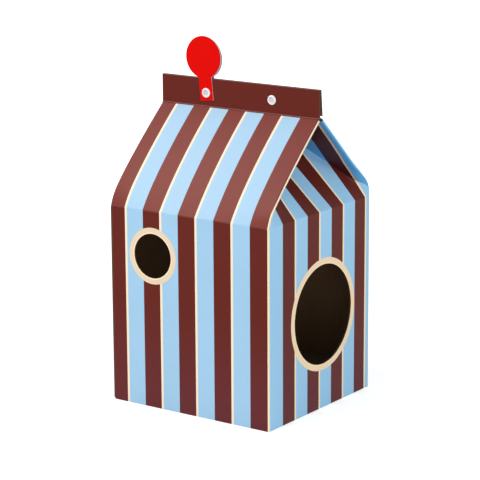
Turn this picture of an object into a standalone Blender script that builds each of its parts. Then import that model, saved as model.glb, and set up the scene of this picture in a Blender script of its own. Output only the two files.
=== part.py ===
# Cardboard cat house shaped like a gable-top milk carton.
#
# The house is one die-cut sheet of corrugated board, folded into four walls, a bottom of
# four flaps, and a pitched top. Each end of the top has a triangular gusset that leans in
# under the roof, and two return panels that fold back flat against the roof's underside.
# The roof panels end in two upright fins, closed by two plastic snap rivets. A pair of
# round card tags hangs on the left rivet. A corrugated scratch pad lies on the floor.
#
# Frame: X along the ridge, the small round window in the wall at -Y, the round door in
# the wall at +X, Z up from the floor. Metres.

import math

import bmesh
import bpy
from mathutils import Matrix, Vector

# Board
BOARD = 0.003
GAP = 0.0003

# Outer size of the carton
WIDTH = 0.380
DEPTH = 0.360
EAVE_Z = 0.402
RIDGE_Z = 0.586
FIN_HEIGHT = 0.0565
FIN_HALF = 0.006
BACK_FIN_LEAN = math.radians(5.0)

# Each roof panel bows outwards from the straight line between its eave and ridge creases:
# a long shallow bow at the middle, and a fuller one near its ends, where the folded-in
# gable panels push it out. The back's ends rise straight off the wall to a low shoulder.
# A bow has a height, the share of the slope where it peaks, and a power below and above that.
MIDDLE_BOW = (0.0075, 0.45, 2.2, 2.0)
FRONT_END_BOW = (0.0121, 0.27, 3.0, 1.6)
BACK_END_BOW = (0.0129, 0.17, 3.15, 1.15)
BOW_COLUMNS = 16
BOW_ROWS = 20
ROW_CROWDING = 1.6

# The returns lie flat under the roof: their plane meets the wall's line this far above
# the eave crease.
RETURN_LIFT = 0.0175

# Openings
DOOR_RADIUS = 0.1015
DOOR_Y = 0.010
DOOR_Z = 0.193
WINDOW_RADIUS = 0.045
WINDOW_X = -0.087
WINDOW_Z = 0.3115
CIRCLE_POINTS = 64

# Gable ends
GUSSET_MARGIN = 0.015
GUSSET_BASE_HALF = 0.167
GUSSET_TIP_HALF = 0.003
RETURN_START = 0.014
RETURN_TRIM = 0.009

# Bottom flaps and the glued seam
MINOR_FLAP_LENGTH = 0.176
FLAP_TAPER = 0.006
SEAM_WIDTH = 0.035
SEAM_BOTTOM_Z = 0.012
SEAM_TOP_Z = 0.388
SEAM_TAPER = 0.012

# Snap rivets: a pin half from the front, a socket half from the back
RIVET_X = 0.079
RIVET_Z = RIDGE_Z + 0.027
RIVET_HOLE_RADIUS = 0.0055
HEAD_RADIUS = 0.00975
HEAD_HEIGHT = 0.0029
HEAD_RECESS = 0.0013
BOSS_RADIUS = 0.0045
PIN_RADIUS = 0.0027
TUBE_RADIUS = 0.0047
BORE_RADIUS = 0.0031
RIVET_STEPS = 48

# Tags
TAG_THICKNESS = 0.0010
TAG_DISC_RADIUS = 0.0426
TAG_DISC_HEIGHT = 0.0712
TAG_STEM_HALF = 0.0158
TAG_STEM_DROP = 0.0160
TAG_HOLE_RADIUS = 0.0050
TAG_TILT = math.radians(5.5)
TAG_ARC_POINTS = 56

# Scratch pad
PAD_LENGTH = 0.360
PAD_WIDTH = 0.342
PAD_HEIGHT = 0.045
PAD_STRIPS = 28
PAD_GROOVE = 0.0012
PAD_GROOVE_DEPTH = 0.0020

# Worked out from the above
HALF_WIDTH = WIDTH / 2
HALF_DEPTH = DEPTH / 2
INNER_WIDTH = HALF_WIDTH - BOARD - GAP
ROOF_END = HALF_WIDTH - GAP
BOWED_END = ROOF_END - GAP
ROOF_RUN = HALF_DEPTH - FIN_HALF
ROOF_RISE = RIDGE_Z - EAVE_Z
ROOF_LEAN = math.atan2(ROOF_RUN, ROOF_RISE)
RETURN_Z = EAVE_Z + RETURN_LIFT
RETURN_RISE = RIDGE_Z - RETURN_Z
RETURN_LEAN = math.atan2(ROOF_RUN, RETURN_RISE)
RETURN_LENGTH = math.hypot(ROOF_RUN, RETURN_RISE)
GUSSET_LEAN = math.atan2(HALF_DEPTH, ROOF_RISE)

FRONT, BACK = -1, 1
LEFT, RIGHT = -1, 1

# Colours, linear
BROWN = (0.141, 0.030, 0.024)
BLUE = (0.305, 0.610, 0.855)
CREAM = (0.970, 0.840, 0.624)
KRAFT = (0.330, 0.190, 0.095)
RED = (0.807, 0.004, 0.002)
WHITE = (0.870, 0.870, 0.890)

# Stripes: brown, a thin cream line, then blue
STRIPE_PERIOD = 0.0855
BROWN_SHARE = 0.475
CREAM_SHARE = 0.060


def clear_scene():
    for obj in list(bpy.data.objects):
        bpy.data.objects.remove(obj, do_unlink=True)


def plain_material(name, colour, roughness):
    """A one-colour, non-metallic finish."""
    material = bpy.data.materials.new(name)
    material.use_nodes = True
    shader = material.node_tree.nodes["Principled BSDF"]
    shader.inputs["Base Color"].default_value = (*colour, 1.0)
    shader.inputs["Roughness"].default_value = roughness
    shader.inputs["Metallic"].default_value = 0.0
    return material


def striped_material(name, axis, start, order=1, roughness=0.35):
    """Printed stripes across one axis of the object's own coordinates, in rising or falling order."""
    material = plain_material(name, BLUE, roughness)
    nodes = material.node_tree.nodes
    links = material.node_tree.links
    place = nodes.new("ShaderNodeTexCoord")
    split = nodes.new("ShaderNodeSeparateXYZ")
    count = nodes.new("ShaderNodeMath")
    count.operation = "MULTIPLY_ADD"
    count.inputs[1].default_value = order / STRIPE_PERIOD
    count.inputs[2].default_value = -order * start / STRIPE_PERIOD
    share = nodes.new("ShaderNodeMath")
    share.operation = "FLOORED_MODULO"
    share.inputs[1].default_value = 1.0
    ramp = nodes.new("ShaderNodeValToRGB")
    ramp.color_ramp.interpolation = "CONSTANT"
    ramp.color_ramp.elements[0].color = (*BROWN, 1.0)
    ramp.color_ramp.elements[1].position = BROWN_SHARE
    ramp.color_ramp.elements[1].color = (*CREAM, 1.0)
    ramp.color_ramp.elements.new(BROWN_SHARE + CREAM_SHARE).color = (*BLUE, 1.0)
    links.new(place.outputs["Object"], split.inputs[0])
    links.new(split.outputs[axis], count.inputs[0])
    links.new(count.outputs[0], share.inputs[0])
    links.new(share.outputs[0], ramp.inputs["Fac"])
    links.new(ramp.outputs["Color"], nodes["Principled BSDF"].inputs["Base Color"])
    return material


def frame(origin, across, up):
    """A placement whose X runs across, Y runs up, and Z stands square to both."""
    x_axis = Vector(across).normalized()
    y_axis = Vector(up).normalized()
    z_axis = x_axis.cross(y_axis)
    rotation = Matrix((x_axis, y_axis, z_axis)).transposed().to_4x4()
    return Matrix.Translation(Vector(origin)) @ rotation


def circle(centre, radius, points=CIRCLE_POINTS):
    turns = [2 * math.pi * i / points for i in range(points)]
    return [(centre[0] + radius * math.cos(a), centre[1] + radius * math.sin(a)) for a in turns]


def rectangle(x_low, y_low, x_high, y_high):
    return [(x_low, y_low), (x_high, y_low), (x_high, y_high), (x_low, y_high)]


class Carton:
    """Collects the pieces in one collection and parents each to its axis."""

    def __init__(self, name):
        self.collection = bpy.data.collections.new(name)
        self.cutters = bpy.data.collections.new(name + "_cutters")
        bpy.context.scene.collection.children.link(self.collection)
        bpy.context.scene.collection.children.link(self.cutters)

    def add(self, obj, matrix, parent):
        self.collection.objects.link(obj)
        if parent:
            obj.parent = parent
            obj.matrix_parent_inverse = parent.matrix_world.inverted()
        obj.matrix_world = matrix
        bpy.context.view_layer.update()
        return obj

    def axis(self, name, location, parent=None):
        """An empty on the line that a moving piece turns about or slides along."""
        empty = bpy.data.objects.new(name, None)
        empty.empty_display_size = 0.03
        return self.add(empty, Matrix.Translation(Vector(location)), parent)

    def cutter(self, name, centre, size):
        """A box that only cuts other pieces."""
        bpy.ops.mesh.primitive_cube_add(size=1.0, location=centre)
        box = bpy.context.active_object
        box.name = name
        box.data.transform(Matrix.Diagonal((*size, 1.0)))
        for collection in list(box.users_collection):
            collection.objects.unlink(box)
        self.cutters.objects.link(box)
        box.hide_render = True
        box.display_type = "WIRE"
        return box

    def sheet(self, name, loops, thickness, matrix, material, parent=None):
        """A flat piece: the first loop is its outline, the others are holes in it."""
        curve = bpy.data.curves.new(name, "CURVE")
        curve.dimensions = "2D"
        curve.fill_mode = "BOTH"
        curve.extrude = thickness / 2
        for loop in loops:
            spline = curve.splines.new("POLY")
            spline.points.add(len(loop) - 1)
            for point, (x, y) in zip(spline.points, loop):
                point.co = (x, y, 0.0, 1.0)
            spline.use_cyclic_u = True
        curve.materials.append(material)
        return self.add(bpy.data.objects.new(name, curve), matrix, parent)

    def turned(self, name, profile, matrix, material, parent=None):
        """A round piece about its own Z, from a profile that runs down its outer side."""
        mesh = bpy.data.meshes.new(name)
        edges = [(i, i + 1) for i in range(len(profile) - 1)]
        mesh.from_pydata([(r, 0.0, z) for r, z in profile], edges, [])
        mesh.materials.append(material)
        obj = bpy.data.objects.new(name, mesh)
        screw = obj.modifiers.new("turn", "SCREW")
        screw.steps = RIVET_STEPS
        screw.render_steps = RIVET_STEPS
        screw.use_merge_vertices = True
        screw.merge_threshold = 0.00001
        screw.use_smooth_shade = True
        return self.add(obj, matrix, parent)


def wall_materials():
    """Front and back stripes start at the left corner, end-wall stripes after a blue one."""
    return {
        "side": striped_material("side_print", "X", -HALF_WIDTH - 0.0052),
        "end": striped_material("end_print", "X", -HALF_DEPTH + 0.0480),
        "roof": striped_material("roof_print", "X", -HALF_WIDTH - 0.0052),
        "return": striped_material("return_print", "X", 0.0553, -1, 0.45),
        "fin": plain_material("fin_print", BROWN, 0.35),
        "kraft": plain_material("kraft_board", KRAFT, 0.85),
        "tag": plain_material("tag_card", RED, 0.4),
        "rivet": plain_material("white_plastic", WHITE, 0.35),
        "pad": plain_material("corrugated_pad", KRAFT, 0.9),
    }


def side_wall(carton, name, side, holes, material):
    """A wall along X, between the end walls."""
    outline = rectangle(-INNER_WIDTH, 0.0, INNER_WIDTH, EAVE_Z - GAP)
    matrix = frame((0, side * (HALF_DEPTH - BOARD / 2), 0), (1, 0, 0), (0, 0, 1))
    return carton.sheet(name, [outline, *holes], BOARD, matrix, material)


def end_wall(carton, name, end, holes, material):
    """A wall along Y, as deep as the carton, so that its edges close the corners."""
    outline = rectangle(-HALF_DEPTH, 0.0, HALF_DEPTH, EAVE_Z - GAP)
    matrix = frame((end * (HALF_WIDTH - BOARD / 2), 0, 0), (0, 1, 0), (0, 0, 1))
    return carton.sheet(name, [outline, *holes], BOARD, matrix, material)


def walls(carton, finish):
    window = circle((WINDOW_X, WINDOW_Z), WINDOW_RADIUS)
    door = circle((DOOR_Y, DOOR_Z), DOOR_RADIUS)
    side_wall(carton, "front_wall", FRONT, [window], finish["side"])
    side_wall(carton, "back_wall", BACK, [], finish["side"])
    end_wall(carton, "door_wall", RIGHT, [door], finish["end"])
    end_wall(carton, "left_wall", LEFT, [], finish["end"])


def glue_seam(carton, finish):
    """The strip that joins the sheet's two ends, glued inside the front wall."""
    outer = -INNER_WIDTH
    inner = outer + SEAM_WIDTH
    outline = [
        (outer, SEAM_BOTTOM_Z),
        (inner, SEAM_BOTTOM_Z + SEAM_TAPER),
        (inner, SEAM_TOP_Z - SEAM_TAPER),
        (outer, SEAM_TOP_Z),
    ]
    y = -HALF_DEPTH + BOARD + GAP + BOARD / 2
    carton.sheet("glue_flap", [outline], BOARD, frame((0, y, 0), (1, 0, 0), (0, 0, 1)), finish["kraft"])


def bottom_flaps(carton, finish):
    """The long flaps meet under the floor's middle, and the short ones lie on them."""
    inner_y = HALF_DEPTH - BOARD - GAP
    long_flap = rectangle(-INNER_WIDTH, GAP / 2, INNER_WIDTH, inner_y)
    tip = INNER_WIDTH - MINOR_FLAP_LENGTH
    short_flap = [
        (tip, -inner_y + FLAP_TAPER),
        (INNER_WIDTH, -inner_y),
        (INNER_WIDTH, inner_y),
        (tip, inner_y - FLAP_TAPER),
    ]
    low = BOARD / 2
    high = BOARD + GAP + BOARD / 2
    for name, side in (("front_bottom_flap", FRONT), ("back_bottom_flap", BACK)):
        matrix = frame((0, 0, low), (side, 0, 0), (0, side, 0))
        carton.sheet(name, [long_flap], BOARD, matrix, finish["kraft"])
    for name, end in (("left_bottom_flap", LEFT), ("right_bottom_flap", RIGHT)):
        matrix = frame((0, 0, high), (end, 0, 0), (0, end, 0))
        carton.sheet(name, [short_flap], BOARD, matrix, finish["kraft"])


def bow(along, shape):
    """How far a panel stands out at a share of its way up, from nothing to its height and back."""
    height, peak, lower_power, upper_power = shape
    if along < peak:
        return height * (1 - ((peak - along) / peak) ** lower_power)
    return height * (1 - ((along - peak) / (1 - peak)) ** upper_power)


def roof_point(side, x, along):
    """A point of the roof's printed face, at a share of the way up its slope."""
    end_share = abs(x / HALF_WIDTH) ** 3
    middle = bow(along, MIDDLE_BOW)
    end = bow(along, FRONT_END_BOW if side == FRONT else BACK_END_BOW)
    out = middle + (end - middle) * end_share
    inwards = ROOF_RUN * along - out * math.cos(ROOF_LEAN)
    height = EAVE_Z + ROOF_RISE * along + out * math.sin(ROOF_LEAN)
    return Vector((x, side * (HALF_DEPTH - inwards), height))


def roof_panel(carton, name, side, material):
    """One bowed slope of the roof, which turns about the crease on top of its wall."""
    grid = bmesh.new()
    bmesh.ops.create_grid(grid, x_segments=BOW_COLUMNS, y_segments=BOW_ROWS, size=1.0)
    for vertex in grid.verts:
        along = ((vertex.co.y + 1) / 2) ** ROW_CROWDING
        vertex.co = roof_point(side, side * -vertex.co.x * BOWED_END, along)
    mesh = bpy.data.meshes.new(name)
    grid.to_mesh(mesh)
    grid.free()
    mesh.materials.append(material)
    mesh.shade_smooth()
    mesh.set_sharp_from_angle(angle=math.radians(40))
    panel = bpy.data.objects.new(name, mesh)
    board = panel.modifiers.new("board", "SOLIDIFY")
    board.thickness = BOARD
    board.offset = -1.0
    board.use_even_offset = True
    eave = panel.modifiers.new("eave", "BOOLEAN")
    eave.operation = "DIFFERENCE"
    eave.solver = "EXACT"
    eave.object = carton.cutter(name + "_eave_cut", (0, side * HALF_DEPTH, EAVE_Z - 0.01), (0.5, 0.06, 0.02))
    axis = carton.axis(name + "_crease", (0, side * HALF_DEPTH, EAVE_Z))
    return carton.add(panel, Matrix.Identity(4), axis)


def fin(carton, name, side, lean, roof, material):
    """The upright strip beyond the ridge crease, with a hole for each rivet."""
    hinge = Vector((0, side * FIN_HALF, RIDGE_Z))
    up = Vector((0, -side * math.sin(lean), math.cos(lean)))
    inwards = Vector((0, -side * math.cos(lean), -math.sin(lean)))
    half_length = ROOF_END
    rivet_up = (RIVET_Z - RIDGE_Z + BOARD / 2 * math.sin(lean)) / math.cos(lean)
    outline = rectangle(-half_length, GAP, half_length, FIN_HEIGHT)
    holes = [circle((end * RIVET_X, rivet_up), RIVET_HOLE_RADIUS, 32) for end in (LEFT, RIGHT)]
    axis = carton.axis(name + "_crease", hinge, roof)
    matrix = frame(hinge + inwards * BOARD / 2, (1, 0, 0), up)
    carton.sheet(name, [outline, *holes], BOARD, matrix, material, axis)
    return axis


def return_panel(carton, name, side, end, roof, material):
    """The triangle that folds back under one end of one roof panel."""
    slope = Vector((0, -side * math.sin(RETURN_LEAN), math.cos(RETURN_LEAN)))
    inwards = Vector((0, -side * math.cos(RETURN_LEAN), -math.sin(RETURN_LEAN)))
    corner = Vector((end * ROOF_END, side * HALF_DEPTH, RETURN_Z))
    low = RETURN_START + RETURN_TRIM * RETURN_LENGTH / HALF_DEPTH
    outline = [(0, low), (0, RETURN_LENGTH), (HALF_DEPTH - RETURN_TRIM, RETURN_LENGTH)]
    axis = carton.axis(name + "_fold", corner + inwards * BOARD, roof)
    middle = corner + inwards * (1.5 * BOARD + GAP)
    carton.sheet(name, [outline], BOARD, frame(middle, (-end, 0, 0), slope), material, axis)


def gusset(carton, name, end, material):
    """The end panel above a wall, which leans in between the returns up to the ridge."""
    run_per_rise = ROOF_RUN / RETURN_RISE
    cosine = math.cos(GUSSET_LEAN)

    def along(half_width):
        """Distance up the panel where its edge, clear of the returns, has this half width."""
        return (RETURN_Z + (HALF_DEPTH - GUSSET_MARGIN - half_width) / run_per_rise - EAVE_Z) / cosine

    shoulder = along(GUSSET_BASE_HALF)
    tip = along(GUSSET_TIP_HALF)
    right_side = [(GUSSET_BASE_HALF, 0.0), (GUSSET_BASE_HALF, shoulder), (GUSSET_TIP_HALF, tip)]
    outline = right_side + [(-x, y) for x, y in reversed(right_side)]
    up = Vector((-end * math.sin(GUSSET_LEAN), 0, cosine))
    outwards = Vector((end * cosine, 0, math.sin(GUSSET_LEAN)))
    hinge = Vector((end * (HALF_WIDTH - BOARD), 0, EAVE_Z))
    axis = carton.axis(name + "_crease", hinge)
    carton.sheet(name, [outline], BOARD, frame(hinge + outwards * BOARD / 2, (0, 1, 0), up), material, axis)


def rivet_head():
    """The shared head: a rounded rim round a shallow dish, from its middle to its back edge."""
    dish = HEAD_HEIGHT - HEAD_RECESS
    return [
        (0.0, dish),
        (0.54 * HEAD_RADIUS, dish),
        (0.62 * HEAD_RADIUS, dish + 0.0007),
        (0.70 * HEAD_RADIUS, HEAD_HEIGHT),
        (0.84 * HEAD_RADIUS, HEAD_HEIGHT - 0.0002),
        (0.95 * HEAD_RADIUS, HEAD_HEIGHT - 0.0010),
        (HEAD_RADIUS, 0.0010),
        (0.97 * HEAD_RADIUS, 0.0),
    ]


def back_face_y(layers):
    """Clear of the leaning back fin, and of the card on it, all the way across a head."""
    lowest = RIVET_Z - HEAD_RADIUS - RIDGE_Z
    return FIN_HALF + layers / math.cos(BACK_FIN_LEAN) - lowest * math.tan(BACK_FIN_LEAN) + GAP


def snap_rivet(carton, side_name, end, tag_layer, front_fin, back_fin, material):
    """Pin half in front of the front fin, socket half behind the back fin."""
    front_y = -FIN_HALF - GAP - tag_layer
    back_y = back_face_y(tag_layer)
    boss_end = -(tag_layer + GAP / 2)
    tube_tip_y = -FIN_HALF + 0.0005
    bore_end_y = back_y - 0.0004
    pin_end = -(bore_end_y - 0.0010 - front_y)
    pin = rivet_head() + [
        (BOSS_RADIUS, 0.0),
        (BOSS_RADIUS, boss_end),
        (PIN_RADIUS, boss_end),
        (PIN_RADIUS, pin_end + 0.0010),
        (PIN_RADIUS * 0.7, pin_end),
        (0.0, pin_end),
    ]
    tube_end = -(back_y - tube_tip_y)
    socket = rivet_head() + [
        (TUBE_RADIUS, 0.0),
        (TUBE_RADIUS, tube_end + 0.0006),
        (TUBE_RADIUS - 0.0005, tube_end),
        (BORE_RADIUS, tube_end),
        (BORE_RADIUS, -0.0004),
        (0.0, -0.0004),
    ]
    x = end * RIVET_X
    pin_axis = carton.axis(f"{side_name}_pin_line", (x, front_y, RIVET_Z), front_fin)
    pin_matrix = Matrix.Translation((x, front_y, RIVET_Z)) @ Matrix.Rotation(math.pi / 2, 4, "X")
    carton.turned(f"{side_name}_rivet_pin", pin, pin_matrix, material, pin_axis)
    socket_axis = carton.axis(f"{side_name}_socket_line", (x, back_y, RIVET_Z), back_fin)
    socket_matrix = Matrix.Translation((x, back_y, RIVET_Z)) @ Matrix.Rotation(-math.pi / 2, 4, "X")
    carton.turned(f"{side_name}_rivet_socket", socket, socket_matrix, material, socket_axis)


def tag_outline():
    """A short stem under a round disc, about the rivet's centre."""
    foot = -TAG_STEM_DROP
    start = math.asin(TAG_STEM_HALF / TAG_DISC_RADIUS)
    sweep = 2 * math.pi - 2 * start
    turns = [-math.pi / 2 + start + sweep * i / TAG_ARC_POINTS for i in range(TAG_ARC_POINTS + 1)]
    disc = [
        (TAG_DISC_RADIUS * math.cos(a), TAG_DISC_HEIGHT + TAG_DISC_RADIUS * math.sin(a)) for a in turns
    ]
    return [(-TAG_STEM_HALF, foot), (TAG_STEM_HALF, foot), *disc]


def tag(carton, name, side, lean, parent, material):
    """A card tag that lies on the outside of a fin and turns about the left rivet."""
    fin_up = Vector((0, -side * math.sin(lean), math.cos(lean)))
    outwards = Vector((0, side * math.cos(lean), math.sin(lean)))
    off_fin = GAP + TAG_THICKNESS / 2
    along_fin = (RIVET_Z - RIDGE_Z - off_fin * math.sin(lean)) / math.cos(lean)
    on_fin = Vector((-RIVET_X, side * FIN_HALF, RIDGE_Z)) + fin_up * along_fin
    middle = on_fin + outwards * off_fin
    across = Vector((math.cos(TAG_TILT), 0, 0)) + fin_up * math.sin(TAG_TILT)
    up = fin_up * math.cos(TAG_TILT) - Vector((math.sin(TAG_TILT), 0, 0))
    axis = carton.axis(name + "_swivel", middle, parent)
    hole = circle((0, 0), TAG_HOLE_RADIUS, 32)
    carton.sheet(name, [tag_outline(), hole], TAG_THICKNESS, frame(middle, across, up), material, axis)


def scratch_pad(carton, finish):
    """Corrugated strips glued side by side, lying loose on the bottom flaps."""
    floor = 2 * (BOARD + GAP)
    pitch = PAD_LENGTH / PAD_STRIPS
    top = []
    for i in range(PAD_STRIPS):
        left = -PAD_LENGTH / 2 + i * pitch
        right = left + pitch
        top.append((left + PAD_GROOVE / 2 * (i > 0), PAD_HEIGHT))
        top.append((right - PAD_GROOVE / 2 * (i < PAD_STRIPS - 1), PAD_HEIGHT))
        if i < PAD_STRIPS - 1:
            top.append((right, PAD_HEIGHT - PAD_GROOVE_DEPTH))
    section = [(-PAD_LENGTH / 2, 0.0), *top, (PAD_LENGTH / 2, 0.0)]
    axis = carton.axis("scratch_pad_lift", (0, 0, floor))
    matrix = frame((0, 0, floor), (1, 0, 0), (0, 0, 1))
    carton.sheet("scratch_pad", [section], PAD_WIDTH, matrix, finish["pad"], axis)


def top(carton, finish):
    """Roof, fins, gussets, returns, rivets and tags."""
    front_roof = roof_panel(carton, "front_roof", FRONT, finish["roof"])
    back_roof = roof_panel(carton, "back_roof", BACK, finish["roof"])
    front_fin = fin(carton, "front_fin", FRONT, 0.0, front_roof, finish["fin"])
    back_fin = fin(carton, "back_fin", BACK, BACK_FIN_LEAN, back_roof, finish["fin"])
    for end_name, end in (("left", LEFT), ("right", RIGHT)):
        gusset(carton, f"{end_name}_gusset", end, finish["end"])
        return_panel(carton, f"front_{end_name}_return", FRONT, end, front_roof, finish["return"])
        return_panel(carton, f"back_{end_name}_return", BACK, end, back_roof, finish["return"])
    tag_layer = TAG_THICKNESS + GAP
    snap_rivet(carton, "left", LEFT, tag_layer, front_fin, back_fin, finish["rivet"])
    snap_rivet(carton, "right", RIGHT, 0.0, front_fin, back_fin, finish["rivet"])
    tag(carton, "front_tag", FRONT, 0.0, front_fin, finish["tag"])
    tag(carton, "back_tag", BACK, BACK_FIN_LEAN, back_fin, finish["tag"])


def main():
    clear_scene()
    carton = Carton("cat_house")
    finish = wall_materials()
    walls(carton, finish)
    glue_seam(carton, finish)
    bottom_flaps(carton, finish)
    top(carton, finish)
    scratch_pad(carton, finish)


main()
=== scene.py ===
# Cardboard cat house shaped like a gable-top carton: the visible skin over the CAD frame.
#
# Each panel of the die-cut sheet is its own mesh on the panel's CAD body. A panel that
# folds takes its crease with it.
# Frame: X along the ridge, round window at -Y, round door at +X, Z up. Metres.

import math

import bpy
from mathutils import Matrix, Vector


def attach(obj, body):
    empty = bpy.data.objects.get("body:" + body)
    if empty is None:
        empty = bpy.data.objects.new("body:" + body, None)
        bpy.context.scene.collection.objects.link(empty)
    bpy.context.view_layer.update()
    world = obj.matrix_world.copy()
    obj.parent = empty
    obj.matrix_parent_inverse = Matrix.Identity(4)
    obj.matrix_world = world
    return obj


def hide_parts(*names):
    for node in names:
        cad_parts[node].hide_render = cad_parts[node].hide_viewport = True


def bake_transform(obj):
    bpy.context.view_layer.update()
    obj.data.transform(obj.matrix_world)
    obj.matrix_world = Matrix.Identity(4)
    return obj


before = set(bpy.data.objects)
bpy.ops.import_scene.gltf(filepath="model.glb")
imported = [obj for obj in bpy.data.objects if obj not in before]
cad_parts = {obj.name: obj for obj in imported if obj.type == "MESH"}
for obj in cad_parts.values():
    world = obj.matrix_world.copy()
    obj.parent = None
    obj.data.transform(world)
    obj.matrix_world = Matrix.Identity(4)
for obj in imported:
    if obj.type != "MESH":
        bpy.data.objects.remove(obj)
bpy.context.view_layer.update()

# Sizes shared with the CAD
BOARD = 0.003
GAP = 0.0003
HALF_WIDTH = 0.190
HALF_DEPTH = 0.180
EAVE_Z = 0.402
RIDGE_Z = 0.586
FIN_HEIGHT = 0.0565
FIN_HALF = 0.006
BACK_FIN_LEAN = math.radians(5.0)
MIDDLE_BOW = (0.0075, 0.45, 2.2, 2.0)
FRONT_END_BOW = (0.0121, 0.27, 3.0, 1.6)
BACK_END_BOW = (0.0129, 0.17, 3.15, 1.15)
DOOR = (0.010, 0.193, 0.1015)
WINDOW = (-0.087, 0.3115, 0.045)
RIVET_X = 0.079
RIVET_Z = RIDGE_Z + 0.027
ROOF_RUN = HALF_DEPTH - FIN_HALF
ROOF_RISE = RIDGE_Z - EAVE_Z
ROOF_LEAN = math.atan2(ROOF_RUN, ROOF_RISE)
SLOPE_LENGTH = math.hypot(ROOF_RUN, ROOF_RISE)
RIDGE_UP = EAVE_Z + SLOPE_LENGTH  # the ridge crease's height on the unfolded sheet

# Skin
FLUTE = 0.0072  # spacing of the board's corrugation
FOLD_RADIUS = BOARD + GAP / 2
CORNER_RADIUS = 0.0020
FLAT_HALF_WIDTH = HALF_WIDTH - FOLD_RADIUS
CREASE = 0.0016
SEAM_STEP = 0.0032

FRONT, BACK = -1, 1
LEFT, RIGHT = -1, 1

# Stripes
PERIOD = 0.08547
BROWN_WIDTH = 0.04056
CREAM_WIDTH = 0.0051
WINDOW_RING = 0.057
DOOR_RING = 0.114
RING_RIM = 0.0022
FRONT_START = -HALF_WIDTH - 0.00518
END_START = -HALF_DEPTH + 0.04797


def smooth(share):
    share = min(max(share, 0.0), 1.0)
    return share * share * (3 - 2 * share)


def lerp(a, b, share):
    return a + (b - a) * share


def spread(low, high, count):
    return [lerp(low, high, i / count) for i in range(count + 1)]


def merged(*runs):
    values = []
    for run in runs:
        for value in run:
            if not values or value > values[-1] + 1e-7:
                values.append(value)
    return values


# Materials


class Nodes:
    """Shorthand for building one material's node tree."""

    def __init__(self, name, roughness=0.5):
        self.material = bpy.data.materials.new(name)
        self.material.use_nodes = True
        self.tree = self.material.node_tree
        self.shader = self.tree.nodes["Principled BSDF"]
        self.shader.inputs["Roughness"].default_value = roughness

    def node(self, kind, **settings):
        made = self.tree.nodes.new(kind)
        for key, value in settings.items():
            setattr(made, key, value)
        return made

    def put(self, socket, value):
        if hasattr(value, "links"):
            self.tree.links.new(value, socket)
        elif isinstance(value, tuple) and len(value) == 3 and socket.type == "RGBA":
            socket.default_value = (*value, 1.0)
        else:
            socket.default_value = value

    def math(self, operation, *values, clamp=False):
        made = self.node("ShaderNodeMath", operation=operation, use_clamp=clamp)
        for socket, value in zip(made.inputs, values):
            self.put(socket, value)
        return made.outputs[0]

    def mix(self, share, a, b, blend_type="MIX"):
        made = self.node("ShaderNodeMix", data_type="RGBA", blend_type=blend_type)
        self.put(made.inputs["Factor"], share)
        self.put(made.inputs["A"], a)
        self.put(made.inputs["B"], b)
        return made.outputs["Result"]

    def noise(self, place, scale, detail=2.0, roughness=0.5, stretch=None):
        if stretch:
            mapping = self.node("ShaderNodeMapping")
            self.put(mapping.inputs["Vector"], place)
            mapping.inputs["Scale"].default_value = stretch
            place = mapping.outputs[0]
        made = self.node("ShaderNodeTexNoise")
        self.put(made.inputs["Vector"], place)
        made.inputs["Scale"].default_value = scale
        made.inputs["Detail"].default_value = detail
        made.inputs["Roughness"].default_value = roughness
        return made.outputs["Fac"]

    def step(self, value, edge, width=0.0002):
        """0 below the edge, 1 above it, with a soft rim this wide."""
        made = self.node("ShaderNodeMapRange", interpolation_type="SMOOTHSTEP")
        self.put(made.inputs["Value"], value)
        made.inputs["From Min"].default_value = edge - width
        made.inputs["From Max"].default_value = edge + width
        return made.outputs[0]

    def bump(self, height, distance, strength=1.0, normal=None):
        made = self.node("ShaderNodeBump")
        self.put(made.inputs["Height"], height)
        made.inputs["Distance"].default_value = distance
        made.inputs["Strength"].default_value = strength
        if normal is not None:
            self.put(made.inputs["Normal"], normal)
        return made.outputs[0]

    def split(self, place):
        made = self.node("ShaderNodeSeparateXYZ")
        self.put(made.inputs[0], place)
        return made.outputs

    def blank(self):
        """The point on the sheet before folding: metres across the stripes, and up."""
        place = self.node("ShaderNodeUVMap", uv_map="blank").outputs[0]
        parts = self.split(place)
        return place, parts[0], parts[1]

    def object_place(self):
        return self.node("ShaderNodeTexCoord").outputs["Object"]

    def distance(self, dx, dy):
        squares = [self.math("MULTIPLY", d, d) for d in (dx, dy)]
        return self.math("SQRT", self.math("ADD", *squares))

    def flutes(self, run):
        return self.math("SINE", self.math("MULTIPLY", run, 2 * math.pi / FLUTE))


def shades(colour):
    """A darker and a lighter tone of one colour."""
    return tuple(c * 0.72 for c in colour), tuple(min(1.0, c * 1.25) for c in colour)


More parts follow.
